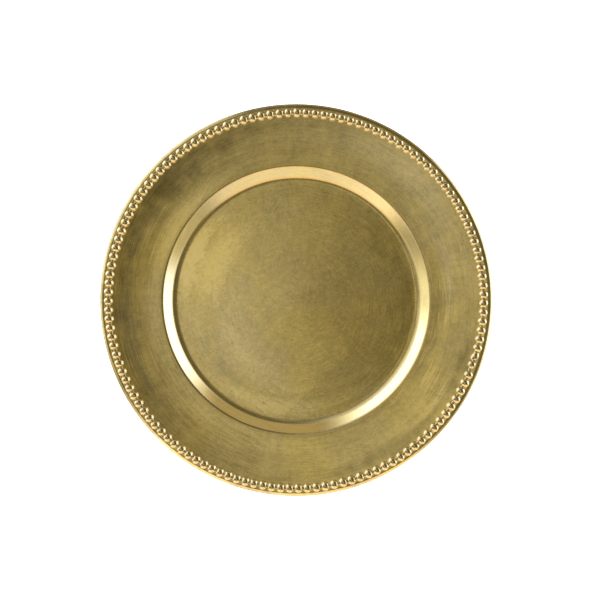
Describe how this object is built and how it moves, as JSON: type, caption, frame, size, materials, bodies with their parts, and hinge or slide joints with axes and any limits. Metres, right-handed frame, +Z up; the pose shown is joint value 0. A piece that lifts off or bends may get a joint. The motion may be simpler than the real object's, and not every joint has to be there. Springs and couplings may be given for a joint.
{
  "type": "charger plate",
  "caption": "Round brass charger plate: a brushed shallow dish with a sloping cove, a broad hollow rim, a beaded border and a rolled edge, standing on a low foot ring.",
  "frame": {"origin": "centre of the plate on the table plane, under the middle of the foot ring", "axes": "+Z up along the plate's axis of rotation, out of the well; X and Y lie in the table plane, and the joint of the bead wire is at minus 19 degrees from +X"},
  "size_m": [0.33, 0.33, 0.0186],
  "materials": {
    "brushed_brass": "spun and circular brushed, satin, clear lacquered",
    "bead_brass": "polished",
    "foot_brass": "satin",
    "solder": "brass coloured hard solder, dull",
    "edge_wire_steel": "drawn wire"
  },
  "bodies": {
    "root": {"plate_shell": "brushed_brass", "edge_wire": "edge_wire_steel", "bead_strip": "bead_brass", "bead_joint_solder": "solder", "foot_ring": "foot_brass", "foot_solder_inner": "solder", "foot_solder_outer": "solder"}
  },
  "joints": []
}
